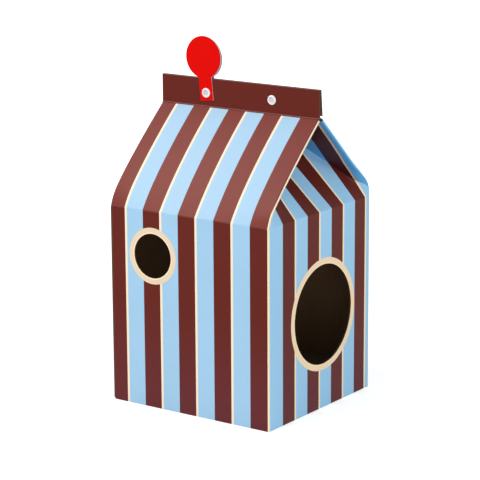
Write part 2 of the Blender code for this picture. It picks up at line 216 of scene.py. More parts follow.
def print_material(name, brown, blue, cream, roughness=0.36, gloss=0.06, ring=None, crease=(), foot=None):
    """
    Varnished print: brown, cream and blue stripes. A ring is (across, up, hole's radius, outer
    radius, colour), and a crease lists (up, half width, colour, amount) of each pale line, a
    painted highlight. The foot colour is mixed into the brown towards the floor as painted light
    reflected from the floor.
    """
    m = Nodes(name, roughness)
    place, across, up = m.blank()
    object_place = m.object_place()
    share = m.math("FLOORED_MODULO", across, PERIOD)
    wobble = m.math("MULTIPLY", m.math("SUBTRACT", m.noise(place, 90.0, 3.0), 0.5), 0.0002)
    edge = m.math("ADD", share, wobble)
    in_cream = m.step(edge, BROWN_WIDTH, 0.00012)
    in_blue = m.step(edge, BROWN_WIDTH + CREAM_WIDTH, 0.00012)
    dark = brown
    if foot:
        # painted reflection of the floor's light: the walls' brown turns slightly purple towards the floor
        low = m.math("SUBTRACT", 1.0, m.math("DIVIDE", up, PAINTED_BOUNCE_TOP, clamp=True))
        dark = m.mix(low, brown, foot)
    colour = m.mix(in_cream, dark, cream)
    colour = m.mix(in_blue, colour, blue)
    last = m.step(edge, PERIOD - 0.00006, 0.00008)
    colour = m.mix(last, colour, brown)
    if ring:
        centre_u, centre_v, inner, outer, ring_colour = ring
        away = m.distance(m.math("SUBTRACT", across, centre_u), m.math("SUBTRACT", up, centre_v))
        inside = m.math("SUBTRACT", 1.0, m.step(away, outer, 0.00015))
        rim = m.step(away, inner + RING_RIM, 0.0003)
        colour = m.mix(inside, colour, m.mix(rim, cream, ring_colour))
    # painted highlights: each pale line along a crease or edge
    for line, width, highlight_colour, amount in crease:
        off = m.math("ABSOLUTE", m.math("SUBTRACT", up, line))
        near = m.math("SUBTRACT", 1.0, m.step(off, width, 0.0003))
        colour = m.mix(m.math("MULTIPLY", near, amount), colour, highlight_colour)
    blotch = m.noise(object_place, 6.0, 3.0, 0.6)
    fibre = m.noise(place, 900.0, 2.0, 0.6, (1.0, 0.35, 1.0))
    tone = m.math("ADD", m.math("MULTIPLY", m.math("SUBTRACT", blotch, 0.5), 0.10), 1.0)
    tone = m.math("ADD", tone, m.math("MULTIPLY", m.math("SUBTRACT", fibre, 0.5), 0.06))
    grey = m.node("ShaderNodeCombineColor")
    for socket in grey.inputs:
        m.put(socket, tone)
    colour = m.mix(1.0, colour, grey.outputs[0], "MULTIPLY")
    m.put(m.shader.inputs["Base Color"], colour)
    waves = m.noise(object_place, 14.0, 2.0, 0.5)
    normal = m.bump(m.flutes(across), 0.00003, 0.5)
    normal = m.bump(waves, 0.0012, 0.5, normal)
    normal = m.bump(fibre, 0.00002, 0.5, normal)
    m.put(m.shader.inputs["Normal"], normal)
    rough = m.math("ADD", m.math("MULTIPLY", blotch, 0.10), roughness - 0.05)
    m.put(m.shader.inputs["Roughness"], rough)
    m.shader.inputs["Specular IOR Level"].default_value = gloss
    return m.material


def kraft_material(name, colour):
    """Bare liner: brown paper with long fibres and faint flute lines."""
    m = Nodes(name, 0.85)
    place, across, up = m.blank()
    object_place = m.object_place()
    blotch = m.noise(object_place, 9.0, 3.0, 0.6)
    fibre = m.noise(place, 500.0, 4.0, 0.7, (0.25, 1.0, 1.0))
    fleck = m.step(m.noise(place, 1300.0, 2.0, 0.5, (0.4, 1.0, 1.0)), 0.67, 0.04)
    dark, light = shades(colour)
    tone = m.mix(blotch, dark, light)
    tone = m.mix(m.math("MULTIPLY", fibre, 0.35), tone, light)
    tone = m.mix(m.math("MULTIPLY", fleck, 0.35), tone, tuple(c * 0.45 for c in colour))
    m.put(m.shader.inputs["Base Color"], tone)
    normal = m.bump(m.flutes(across), 0.00008, 0.7)
    m.put(m.shader.inputs["Normal"], m.bump(fibre, 0.00005, 0.6, normal))
    return m.material


def flap_material(name, colour):
    """Bare kraft on pieces without a flat blank: fibres and flute lines by place."""
    m = Nodes(name, 0.88)
    place = m.object_place()
    blotch = m.noise(place, 9.0, 3.0, 0.6)
    fibre = m.noise(place, 420.0, 4.0, 0.7, (0.3, 1.0, 1.0))
    dark, light = shades(colour)
    tone = m.mix(blotch, dark, light)
    tone = m.mix(m.math("MULTIPLY", fibre, 0.4), tone, light)
    m.put(m.shader.inputs["Base Color"], tone)
    normal = m.bump(m.flutes(m.split(place)[0]), 0.00008, 0.7)
    m.put(m.shader.inputs["Normal"], m.bump(fibre, 0.00005, 0.6, normal))
    return m.material


PAD_LAYER = 0.0040


def pad_material(name):
    """Corrugated strips on edge: liner lines along each strip and the paper wave between them, with painted
    shade in the open flutes.
    """
    m = Nodes(name, 0.92)
    place = m.object_place()
    across, run = m.split(place)[:2]
    layer = m.math("PINGPONG", across, PAD_LAYER / 2)
    liner = m.math("SUBTRACT", 1.0, m.step(layer, 0.00025, 0.00010))
    number = m.math("FLOOR", m.math("DIVIDE", across, PAD_LAYER))
    phase = m.math("MULTIPLY", number, 2.4)
    wave = m.math("SINE", m.math("ADD", m.math("MULTIPLY", run, 2 * math.pi / FLUTE), phase))
    middle = m.math("MULTIPLY_ADD", wave, 0.0008, 0.0010)
    off = m.math("ABSOLUTE", m.math("SUBTRACT", layer, middle))
    paper = m.math("SUBTRACT", 1.0, m.step(off, 0.00030, 0.00010))
    solid = m.math("MAXIMUM", liner, paper)
    grain = m.noise(place, 900.0, 3.0, 0.6)
    blotch = m.noise(place, 12.0, 3.0, 0.6)
    tone = m.mix(grain, (0.32, 0.20, 0.11), (0.50, 0.34, 0.20))
    tone = m.mix(m.math("MULTIPLY", blotch, 0.4), tone, (0.30, 0.18, 0.09))
    # the open flutes between liner and paper are painted near black: painted shade
    tone = m.mix(solid, (0.045, 0.026, 0.013), tone)
    m.put(m.shader.inputs["Base Color"], tone)
    m.put(m.shader.inputs["Normal"], m.bump(solid, 0.0006, 0.9))
    return m.material


def edge_material(name):
    """The cut edge of corrugated board: two liners with a wave of paper between them. The paper is set dark
    and the open flutes near black: painted shade.
    """
    m = Nodes(name, 0.9)
    place, run, depth = m.blank()
    middle = m.math("MULTIPLY_ADD", m.flutes(run), 0.00095, BOARD / 2)
    off = m.math("ABSOLUTE", m.math("SUBTRACT", depth, middle))
    hollow = m.step(off, 0.00030, 0.00010)
    liner = m.math("ABSOLUTE", m.math("SUBTRACT", depth, BOARD / 2))
    paper = m.step(liner, 0.00115, 0.00008)
    shaded_flute_share = m.math("MULTIPLY", hollow, m.math("SUBTRACT", 1.0, paper))
    grain = m.noise(place, 1500.0, 3.0, 0.6)
    # the paper's brown, set dark as painted shade
    tone = m.mix(grain, (0.105, 0.068, 0.026), (0.190, 0.126, 0.054))
    # the open flutes painted near black: painted shade in the hollows
    tone = m.mix(shaded_flute_share, tone, (0.022, 0.013, 0.006))
    m.put(m.shader.inputs["Base Color"], tone)
    m.put(m.shader.inputs["Normal"], m.bump(m.math("SUBTRACT", 1.0, shaded_flute_share), 0.0005, 0.8))
    return m.material


def tag_material(name, colour):
    """Coated card, faintly blotched."""
    m = Nodes(name, 0.33)
    object_place = m.object_place()
    grain = m.noise(object_place, 700.0, 3.0, 0.6)
    blotch = m.noise(object_place, 30.0, 2.0, 0.5)
    dark = tuple(c * 0.92 for c in colour)
    tone = m.mix(m.math("MULTIPLY", blotch, 0.6), colour, dark)
    m.put(m.shader.inputs["Base Color"], tone)
    m.put(m.shader.inputs["Normal"], m.bump(grain, 0.00002, 0.5))
    m.put(m.shader.inputs["Roughness"], m.math("MULTIPLY_ADD", grain, 0.15, 0.27))
    m.shader.inputs["Specular IOR Level"].default_value = 0.03
    return m.material


RIVET_DISH = 0.0062


def plastic_material(name, x, z):
    """White moulded plastic, greyer in the dish at the middle of the rivet's head: painted shade in the
    recess.
    """
    m = Nodes(name, 0.3)
    place = m.object_place()
    parts = m.split(place)
    away = m.distance(m.math("SUBTRACT", parts[0], x), m.math("SUBTRACT", parts[2], z))
    grain = m.noise(place, 1200.0, 2.0, 0.5)
    blotch = m.noise(place, 60.0, 2.0, 0.5)
    rim = m.mix(blotch, (0.82, 0.83, 0.87), (0.90, 0.91, 0.95))
    # grey dish at the head's middle: painted shade in the recess
    dish = m.mix(blotch, (0.56, 0.55, 0.60), (0.63, 0.62, 0.67))
    m.put(m.shader.inputs["Base Color"], m.mix(m.step(away, RIVET_DISH, 0.0007), dish, rim))
    m.put(m.shader.inputs["Normal"], m.bump(grain, 0.00002, 0.4))
    m.put(m.shader.inputs["Roughness"], m.math("MULTIPLY_ADD", grain, 0.12, 0.26))
    return m.material


BROWN = (0.123, 0.019, 0.013)
BLUE = (0.350, 0.622, 0.850)
CREAM = (0.960, 0.840, 0.610)
RING = (0.780, 0.665, 0.480)
# A purple brown mixed into the walls near the floor, fading out by the height below: painted light reflected
# from the floor
PAINTED_BOUNCE_BROWN = (0.131, 0.029, 0.034)
PAINTED_BOUNCE_TOP = 0.22
END_CREAM = (1.0, 0.820, 0.530)
END_RING = (0.944, 0.725, 0.475)
# The returns lie under the roof: their print is a darker copy of the same print, painted shade
SHADED_RETURN_BROWN = (0.070, 0.013, 0.015)
SHADED_RETURN_BLUE = (0.130, 0.430, 0.780)
SHADED_RETURN_CREAM = (0.93, 0.66, 0.36)
# The roof's brown is set lighter than the walls': painted reflected light on the upward-facing roof
LIT_ROOF_BROWN = (0.160, 0.020, 0.014)
# Colour of the pale lines at the fin's ridge crease and top edge: painted highlight
PAINTED_CREASE_HIGHLIGHT = (0.42, 0.30, 0.30)

front_print = print_material(
    "front_print", BROWN, BLUE, CREAM, foot=PAINTED_BOUNCE_BROWN,
    ring=(WINDOW[0] - FRONT_START, WINDOW[1], WINDOW[2], WINDOW_RING, RING),
)
end_print = print_material(
    "end_print", BROWN, BLUE, END_CREAM, foot=PAINTED_BOUNCE_BROWN,
    ring=(DOOR[0] - END_START + 5 * PERIOD, DOOR[1], DOOR[2], DOOR_RING, END_RING),
)
plain_print = print_material("stripe_print", BROWN, BLUE, END_CREAM, foot=PAINTED_BOUNCE_BROWN)
# darker copy of the print for the returns: painted shade
return_print = print_material("return_print", SHADED_RETURN_BROWN, SHADED_RETURN_BLUE, SHADED_RETURN_CREAM, gloss=0.10)
# roof print with a lighter brown: painted reflected light
roof_print = print_material("roof_print", LIT_ROOF_BROWN, BLUE, CREAM, 0.44, 0.27)
# The fin's ridge crease and top edge carry pale lines: painted highlights
fin_print = print_material(
    "fin_print", BROWN, BROWN, BROWN, 0.34, 0.05,
    crease=[(RIDGE_UP, 0.0006, PAINTED_CREASE_HIGHLIGHT, 0.55), (RIDGE_UP + FIN_HEIGHT, 0.0010, PAINTED_CREASE_HIGHLIGHT, 0.45)],
)
# The liner's own brown, set darker as painted shade for the inside seen through the holes
kraft = kraft_material("kraft", (0.170, 0.095, 0.044))
cut_edge = edge_material("cut_edge")
tag_red = tag_material("tag_red", (0.720, 0.003, 0.0015))
# white card greyed to lavender: painted shade
shaded_tag_white = tag_material("shaded_tag_white", (0.78, 0.76, 0.82))
rivet_white = {end: plastic_material(f"{name}_rivet_white", end * RIVET_X, RIVET_Z)
               for name, end in (("left", LEFT), ("right", RIGHT))}
kraft_plain = flap_material("kraft_flap", (0.25, 0.145, 0.072))
pad_board = pad_material("pad_board")


# Mesh building


class Sheet:
    """One closed skin of board: a printed face, a kraft face, and cut edges between them."""

    def __init__(self, name, outer, blank, thickness=BOARD, materials=None, slot_name=None):
        self.name = name
        self.outer = outer
        self.blank = blank
        self.thickness = thickness
        self.materials = materials or [plain_print, kraft, cut_edge]
        self.verts = []
        self.faces = []
        self.face_uvs = []
        self.face_slots = []
        self.face_smooth = []
        self.boundary = []
        self.slot_name = slot_name

    def point(self, column, row):
        """Adds the printed and the kraft point over one place on the blank."""
        place, normal, *inside = self.outer(column, row)
        self.verts.append(place)
        self.verts.append(inside[0] if inside else place - normal.normalized() * self.thickness)
        u, v = self.blank(column, row)
        return (len(self.verts) - 2, len(self.verts) - 1, u, v)

    def quad(self, a, b, c, d):
        """a, b, c, d run anticlockwise seen from the printed side."""
        corners = []
        for p in (a, b, c, d):
            if not corners or p is not corners[-1]:
                corners.append(p)
        if len(corners) > 1 and corners[0] is corners[-1]:
            corners.pop()
        self.faces.append([p[0] for p in corners])
        self.face_uvs.append([(p[2], p[3]) for p in corners])
        self.face_slots.append(0)
        self.face_smooth.append(True)
        self.faces.append([p[1] for p in reversed(corners)])
        self.face_uvs.append([(p[2], p[3]) for p in reversed(corners)])
        self.face_slots.append(1)
        self.face_smooth.append(True)

    def rim(self, loop):
        """A band of cut edge along a loop of points that runs with the board on its left."""
        run = 0.0
        count = len(loop)
        for i in range(count):
            a, b = loop[i], loop[(i + 1) % count]
            length = (self.verts[b[0]] - self.verts[a[0]]).length
            self.faces.append([b[0], a[0], a[1], b[1]])
            t = self.thickness
            self.face_uvs.append([(run + length, 0.0), (run, 0.0), (run, t), (run + length, t)])
            self.face_slots.append(2)
            self.face_smooth.append(False)
            run += length

    def grid(self, columns, rows, skip=None, rim=True):
        """A grid of quads; columns rise to the right seen from the printed side."""
        points = {}
        for j, row in enumerate(rows):
            for i, column in enumerate(columns):
                if skip and skip[0] < i < skip[1] and skip[2] < j < skip[3]:
                    continue
                points[i, j] = self.point(column, row)
        for j in range(len(rows) - 1):
            for i in range(len(columns) - 1):
                if skip and skip[0] <= i < skip[1] and skip[2] <= j < skip[3]:
                    continue
                self.quad(points[i, j], points[i + 1, j], points[i + 1, j + 1], points[i, j + 1])
        if rim:
            last_i, last_j = len(columns) - 1, len(rows) - 1
            loop = [points[i, 0] for i in range(last_i)]
            loop += [points[last_i, j] for j in range(last_j)]
            loop += [points[i, last_j] for i in range(last_i, 0, -1)]
            loop += [points[0, j] for j in range(last_j, 0, -1)]
            self.rim(loop)
        return points

    def hole(self, points, corner, count, centre, radius, rings=4):
        """Fills a square of the grid with rings of quads down to a round hole."""
        i0, j0 = corner
        border = [points[i0 + i, j0] for i in range(count)]
        border += [points[i0 + count, j0 + j] for j in range(count)]
        border += [points[i0 + count - i, j0 + count] for i in range(count)]
        border += [points[i0, j0 + count - j] for j in range(count)]
        places = self.square_places(centre, count)
        outer_ring = border
        for ring in range(1, rings + 1):
            share = ring / rings
            inner_ring = []
            for k, (x, y) in enumerate(places):
                turn = -3 * math.pi / 4 + 2 * math.pi * k / len(places)
                column = lerp(x, centre[0] + radius * math.cos(turn), share)
                row = lerp(y, centre[1] + radius * math.sin(turn), share)
                inner_ring.append(self.point(column, row))
            for k in range(len(places)):
                n = (k + 1) % len(places)
                self.quad(outer_ring[k], outer_ring[n], inner_ring[n], inner_ring[k])
            outer_ring = inner_ring
        self.rim(list(reversed(outer_ring)))

    def square_places(self, centre, count):
        half = self.square_half
        low_x, low_y = centre[0] - half, centre[1] - half
        step = 2 * half / count
        places = [(low_x + step * i, low_y) for i in range(count)]
        places += [(low_x + 2 * half, low_y + step * i) for i in range(count)]
        places += [(low_x + 2 * half - step * i, low_y + 2 * half) for i in range(count)]
        places += [(low_x, low_y + 2 * half - step * i) for i in range(count)]
        return places

    def build(self, flip=False):
        mesh = bpy.data.meshes.new(self.name)
        faces = [list(reversed(f)) for f in self.faces] if flip else self.faces
        uvs = [list(reversed(u)) for u in self.face_uvs] if flip else self.face_uvs
        mesh.from_pydata([tuple(v) for v in self.verts], [], faces)
        layer = mesh.uv_layers.new(name="blank")
        flat = [c for face in uvs for uv in face for c in uv]
        layer.data.foreach_set("uv", flat)
        mesh.polygons.foreach_set("material_index", self.face_slots)
        mesh.polygons.foreach_set("use_smooth", self.face_smooth)
        for material in self.materials:
            mesh.materials.append(material)
        mesh.update()
        mesh.set_sharp_from_angle(angle=math.radians(46))
        obj = bpy.data.objects.new(self.name, mesh)
        bpy.context.scene.collection.objects.link(obj)
        return obj


# Walls


def wall_surface(axis, side, half_long, depth, square_end=0):
    """
    Flat face with its vertical edges turned half-way round each corner, and a soft foot. At
    the end whose sign is square_end it stays flat to a raw edge.
    """

    def outer(across, up):
        end = 1 if across > 0 else -1
        over = 0.0 if end == square_end else abs(across) - (half_long - CORNER_RADIUS)
        turn = max(0.0, over) / CORNER_RADIUS
        lateral = abs(across) if over <= 0 else half_long - CORNER_RADIUS * (1 - math.sin(turn))
        out = depth - CORNER_RADIUS * (1 - math.cos(turn))
        foot = max(0.0, FOOT_RADIUS - up)
        out -= FOOT_RADIUS - math.sqrt(FOOT_RADIUS ** 2 - foot ** 2)
        inside = abs(lateral) if end == square_end else min(abs(lateral), half_long - BOARD)
        inner = (end * inside, side * (depth - BOARD))
        face = (end * lateral, side * out)
        normal = (end * math.sin(turn), side * math.cos(turn))
        if axis == "x":
            face, normal, inner = face[::-1], normal[::-1], inner[::-1]
        return Vector((*face, up)), Vector((*normal, 0)), Vector((*inner, up))

    return outer


# The foot of the front-left corner is cut off at a slant
CORNER_CUT = 0.0045
CORNER_CUT_TOP = 0.020
FOOT_RADIUS = 0.0018
FOOT_ROWS = [0.0, 0.0003, 0.0008, FOOT_RADIUS]
CORNER_ARC = CORNER_RADIUS * math.pi / 4
WALL_STEP = 0.018
HOLE_MARGIN = 0.016


def wall_columns(half_long, square=None, count=16, raw_left=None, raw_right=None):
    """
    Places across a wall, as seen from outside: a corner arc at each end, or a raw edge at the
    place given for it, and close columns round a hole.
    """
    flat = half_long - CORNER_RADIUS
    arc = spread(flat, flat + CORNER_ARC, 5)
    if raw_right is not None:
        return merged([-a for a in reversed(arc)], spread(-flat, raw_right - CORNER_CUT, 20), [raw_right])
    left = [-a for a in reversed(arc)] if raw_left is None else []
    start = -flat if raw_left is None else raw_left
    if square:
        low, high = square
        inner = merged(
            spread(start, low, max(2, int((low - start) / WALL_STEP))),
            spread(low, high, count),
            spread(high, flat, max(2, int((flat - high) / WALL_STEP))),
        )
    else:
        inner = spread(start, flat, 20)
    return merged(left, inner, arc)


def front_phase(across):
    return across - FRONT_START


LAST_BROWN = END_START + 3 * PERIOD
LAST_BROWN_WIDTH = 0.0372
LAST_BROWN_NARROWING = 0.0903
CREAM_END = -(HALF_DEPTH - CORNER_RADIUS) - CORNER_ARC + 0.0030


def end_phase(across):
    """
    Blue from the near corner to the first brown stripe, so that short first run is drawn out.
    The last brown stripe is narrower than the others.
    """
    turns = 5 * PERIOD
    if across < CREAM_END:
        return turns + BROWN_WIDTH + CREAM_WIDTH - (CREAM_END - across) - PERIOD
    if across < END_START:
        share = (across - CREAM_END) / (END_START - CREAM_END)
        return turns + lerp(BROWN_WIDTH + CREAM_WIDTH + 0.0002, PERIOD, share) - PERIOD
    narrowed = min(max(across - LAST_BROWN, 0.0), LAST_BROWN_WIDTH) * LAST_BROWN_NARROWING
    return turns + across - END_START + narrowed


def back_phase(across):
    """The end wall's print goes on round the back right corner."""
    return end_phase(HALF_DEPTH) + HALF_WIDTH - across


def left_phase(across):
    return back_phase(-HALF_WIDTH) + HALF_DEPTH - across


def make_wall(name, axis, side, half_long, depth, phase, material, hole=None, raw_left=None, raw_right=None):
    surface = wall_surface(axis, side, half_long, depth, FRONT if raw_right is not None else 0)
    # seen from outside, columns rise to the right: front +x, right +y, back -x, left -y
    turn = -1 if (axis, side) in (("y", 1), ("x", -1)) else 1

    def outer(column, row):
        return surface(turn * column, row)

    def blank(column, row):
        return phase(turn * column), row

    slot = "side_print" if axis == "y" else "end_print"
    sheet = Sheet(name, outer, blank, materials=[material, kraft, cut_edge], slot_name=slot)
    top = EAVE_Z - CREASE
    if hole:
        centre = (hole[0] * turn, hole[1])
        half = hole[2] + HOLE_MARGIN
        sheet.square_half = half
        count = 16
        left, right = centre[0] - half, centre[0] + half
        bottom, high = centre[1] - half, centre[1] + half
        columns = wall_columns(half_long, (left, right), count, raw_left)
        rows = merged(
            FOOT_ROWS, spread(FOOT_RADIUS, bottom, 8), spread(bottom, high, count), spread(high, top, 4)
        )
        i0 = min(range(len(columns)), key=lambda i: abs(columns[i] - left))
        j0 = min(range(len(rows)), key=lambda j: abs(rows[j] - bottom))
        points = sheet.grid(columns, rows, (i0, i0 + count, j0, j0 + count))
        sheet.hole(points, (i0, j0), count, centre, hole[2])
    else:
        columns = wall_columns(half_long, raw_left=raw_left, raw_right=raw_right)
        sheet.grid(columns, merged(FOOT_ROWS, spread(FOOT_RADIUS, top, 20)))
    for vert in sheet.verts:
        lift = CORNER_CUT - (vert.x + HALF_WIDTH) - (vert.y + HALF_DEPTH)
        vert.z += max(lift, 0.0) * max(1 - vert.z / CORNER_CUT_TOP, 0.0)
    wall = sheet.build()
    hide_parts(name)
    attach(wall, "carton")


# At the front-left corner the sheet ends: the left wall's raw edge faces forward there.
make_wall(
    "front_wall", "y", FRONT, HALF_WIDTH, HALF_DEPTH, front_phase, front_print, WINDOW,
    raw_left=-HALF_WIDTH + SEAM_STEP,
)
make_wall("back_wall", "y", BACK, HALF_WIDTH, HALF_DEPTH, back_phase, plain_print)
make_wall("door_wall", "x", RIGHT, HALF_DEPTH, HALF_WIDTH, end_phase, end_print, DOOR)
make_wall(
    "left_wall", "x", LEFT, HALF_DEPTH, HALF_WIDTH, left_phase, plain_print, raw_right=HALF_DEPTH
)


# Roof


# The back roof's ends bow out a little more, low down
EAR = 0.0040
EAR_PEAK = 0.13
EAR_FADE = 0.33


def bow(along, shape):
    """Height of a bowed panel over its chord; shape is (height, place of peak, two powers)."""
    height, peak, lower_power, upper_power = shape
    if along < peak:
        return height * (1 - ((peak - along) / peak) ** lower_power)
    return height * (1 - ((along - peak) / (1 - peak)) ** upper_power)


def roof_point(side, x, along):
    if along <= 0:
        return Vector((x, side * HALF_DEPTH, EAVE_Z + along * SLOPE_LENGTH))
    end_share = min(1.0, abs(x / HALF_WIDTH)) ** 3
    middle = bow(along, MIDDLE_BOW)
    end = bow(along, FRONT_END_BOW if side == FRONT else BACK_END_BOW)
    if side == BACK:
        end += EAR * smooth(along / EAR_PEAK) * (1 - smooth((along - EAR_PEAK) / EAR_FADE))
    out = middle + (end - middle) * end_share
    inwards = ROOF_RUN * along - out * math.cos(ROOF_LEAN)
    height = EAVE_Z + ROOF_RISE * along + out * math.sin(ROOF_LEAN)
    return Vector((x, side * (HALF_DEPTH - inwards), height))


def roof_normal(side, x, along):
    """Outward normal of the printed face; at the crease itself it halves the angle."""
    step = 0.002
    low, high = (along - step, along) if along < -1e-6 else (along, min(along + step, 1.0))
    if abs(along) < 1e-6 or low == high:
        low = along - step
    tangent = (roof_point(side, x, high) - roof_point(side, x, low)).normalized()
    across = roof_point(side, x + 0.002, along) - roof_point(side, x - 0.002, along)
    return (across.cross(tangent) * -side).normalized()


# The diagonal creases start a little above the eave, so each corner stands up to a low
# shoulder before the return folds under the roof.
SHOULDER = 0.105
SHOULDER_FOOT = 0.050
SHOULDER_TOP = 0.250
RETURN_SPREAD = 0.194
FOLDED_FLAT = 0.24
HANG = 0.0055
HANG_RISE = 0.012
HANG_FADE = (0.17, 0.20)
FOLD_STEPS = 10
ROOF_SIDE_STEPS = 6
GABLE_TOP = 0.988


def fold_turn(along):
    """How far the sheet has turned round the roof's end: a corner at the eave, flat above."""
    return math.pi / 2 * (1 + smooth(along / FOLDED_FLAT))


def fold_radius(along):
    """The fold is as tight as the wall's corner at the eave, and opens to two boards' thickness."""
    return lerp(CORNER_RADIUS, FOLD_RADIUS, smooth(along / FOLDED_FLAT))


ROOF_ROWS = merged(
    [-CREASE / SLOPE_LENGTH, -CREASE / 2 / SLOPE_LENGTH, 0.0],
    [0.004, 0.010],
    [0.02 + 0.97 * (i / 26) ** 1.15 for i in range(27)],
)
ROOF_TOP = ROOF_ROWS[-1]


def make_roof(name, side):
    def x_at(column, row):
        return -side * column * (HALF_WIDTH - fold_radius(row))

    def outer(column, row):
        x = x_at(column, row)
        return roof_point(side, x, row), roof_normal(side, x, row)

    def blank(column, row):
        phase = front_phase if side == FRONT else back_phase
        return phase(x_at(column, row)), EAVE_Z + row * SLOPE_LENGTH

    sheet = Sheet(name, outer, blank, materials=[roof_print, kraft, cut_edge], slot_name="roof_print")
    sheet.grid(spread(-1, 1, 40), ROOF_ROWS)
    roof = sheet.build()
    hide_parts(name)
    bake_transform(roof)


make_roof("front_roof", FRONT)
make_roof("back_roof", BACK)


# Gable ends

def gable_rows(first, count):
    return [first + (GABLE_TOP - first) * (i / count) ** 1.25 for i in range(count + 1)]


def return_width(along):
    if along < SHOULDER_TOP:
        share = max(0.0, (along - SHOULDER_FOOT) / (SHOULDER_TOP - SHOULDER_FOOT))
        return RETURN_SPREAD * (SHOULDER_TOP - SHOULDER) * share ** 1.5
    return RETURN_SPREAD * (along - SHOULDER)


def fold_frame(side, end, along):
    """Where the fold leaves the roof, the roof's normal there, and the way out of the end."""
    x = end * (HALF_WIDTH - fold_radius(along))
    normal = roof_normal(side, x, along)
    normal.x = 0.0
    return roof_point(side, x, along), normal.normalized(), Vector((end, 0, 0))


def fold_place(side, end, along, turn):
    """A point of the rounded fold along the roof's end, its normal, and the kraft point under it."""
    edge, normal, out = fold_frame(side, end, along)
    radius = fold_radius(along)
    radial = normal * math.cos(turn) + out * math.sin(turn)
    centre = edge - normal * radius
    return centre + radial * radius, radial, centre + radial * max(radius - BOARD, 0.0001)


def return_place(side, end, along, across):
    """A point of the return's printed face, this far from its fold, and its normal."""
    turn = fold_turn(along)
    start, radial, inside = fold_place(side, end, along, turn)
    edge, normal, out = fold_frame(side, end, along)
    away = out * math.cos(turn) - normal * math.sin(turn)
    hanging = start + away * across
    # once folded flat, the panel follows the bowed roof above it
    x = end * (HALF_WIDTH - fold_radius(along) - across)
    local = roof_normal(side, x, along)
    hang = HANG * min(1.0, across / HANG_RISE) * (1 - smooth((along - HANG_FADE[0]) / HANG_FADE[1]))
    flat = roof_point(side, x, along) - local * (2 * FOLD_RADIUS + hang)
    share = smooth((turn / math.pi - 0.5) * 2)
    return hanging.lerp(flat, share), radial.lerp(-local, share)


def crease_place(side, end, along):
    """The diagonal crease between a return and the gusset."""
    return return_place(side, end, along, return_width(along))[0]


def sheet_run(along):
    """Distance on the blank from the middle of the fold to the diagonal crease."""
    return fold_turn(along) / 2 * fold_radius(along) + return_width(along)


def between(value, *stations):
    """Straight runs between (place, value) stations, level beyond the ends."""
    for (a, at_a), (b, at_b) in zip(stations, stations[1:]):
        if value <= b:
            return lerp(at_a, at_b, min(max((value - a) / (b - a), 0.0), 1.0))
    return stations[-1][1]


# Where the first stripes end on the sheet, by distance from the corner
TRUE_CREAM_START = 0.0133
TRUE_CREAM_END = TRUE_CREAM_START + CREAM_WIDTH
TRUE_BROWN_END = 0.0556


def printed_run(run, along):
    """The returns are not folded quite true to the print: its stripes drift a few millimetres."""
    cream_end = between(along, (0.0, 0.0184), (0.19, 0.0205), (0.35, 0.0240), (0.50, 0.0215), (1.0, 0.0185))
    cream_start = cream_end - between(along, (0.05, 0.0051), (0.19, 0.0028), (0.40, 0.0036), (0.55, 0.0044))
    brown_end = between(along, (0.0, 0.0556), (0.41, 0.0612), (0.75, 0.0630))
    if run < cream_start:
        return run * TRUE_CREAM_START / cream_start
    if run < cream_end:
        return TRUE_CREAM_START + (run - cream_start) * CREAM_WIDTH / (cream_end - cream_start)
    if run < brown_end:
        share = (run - cream_end) / (brown_end - cream_end)
        return lerp(TRUE_CREAM_END, TRUE_BROWN_END, share)
    return TRUE_BROWN_END + run - brown_end


def crease_run(along):
    """Printed distance from the corner at which the diagonal crease stands."""
    return printed_run(sheet_run(along), along)


END_MIDDLE = HALF_DEPTH - CORNER_RADIUS + CORNER_ARC


def end_side_phase(end, distance):
    """Stripes of the end walls, gussets and returns, by place across the wall."""
    return end_phase(distance) if end == RIGHT else left_phase(distance)


def make_return(name, side, end):
    roof_edge = front_phase(end * HALF_WIDTH) if side == FRONT else back_phase(end * HALF_WIDTH)
    shift = PERIOD * round((roof_edge - end_side_phase(end, side * HALF_DEPTH)) / PERIOD)

    def outer(column, row):
        if column <= 0:
            turn = fold_turn(row) * (1 + column)
            return fold_place(side, end, row, turn)
        return return_place(side, end, row, column * max(return_width(row), 0.0004))

    def blank(column, row):
        if column <= 0:
            run = fold_turn(row) * (0.5 + column) * fold_radius(row)
        else:
            run = fold_turn(row) / 2 * fold_radius(row) + column * return_width(row)
        if run < 0:
            edge = end * (HALF_WIDTH + run)
            return (front_phase(edge) if side == FRONT else back_phase(edge)), row * SLOPE_LENGTH
        return end_side_phase(end, side * (END_MIDDLE - printed_run(run, row))) + shift, row * SLOPE_LENGTH

    columns = merged(spread(-1, 0, FOLD_STEPS), spread(0, 1, 14))
    materials = [return_print, kraft, cut_edge, roof_print]
    sheet = Sheet(name, outer, blank, materials=materials, slot_name="return_print")
    rows = [-CREASE / SLOPE_LENGTH] + gable_rows(0.0, 40)
    sheet.grid(columns, rows)
    # the outside of the fold is seen as part of the roof
    for row in range(len(rows) - 1):
        for column in range(ROOF_SIDE_STEPS):
            sheet.face_slots[2 * (row * (len(columns) - 1) + column)] = 3
    piece = sheet.build(flip=(side * end > 0))
    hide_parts(name)
    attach(piece, name + "_body")


for end_name, end in (("left", LEFT), ("right", RIGHT)):
    for side_name, side in (("front", FRONT), ("back", BACK)):
        make_return(f"{side_name}_{end_name}_return", side, end)


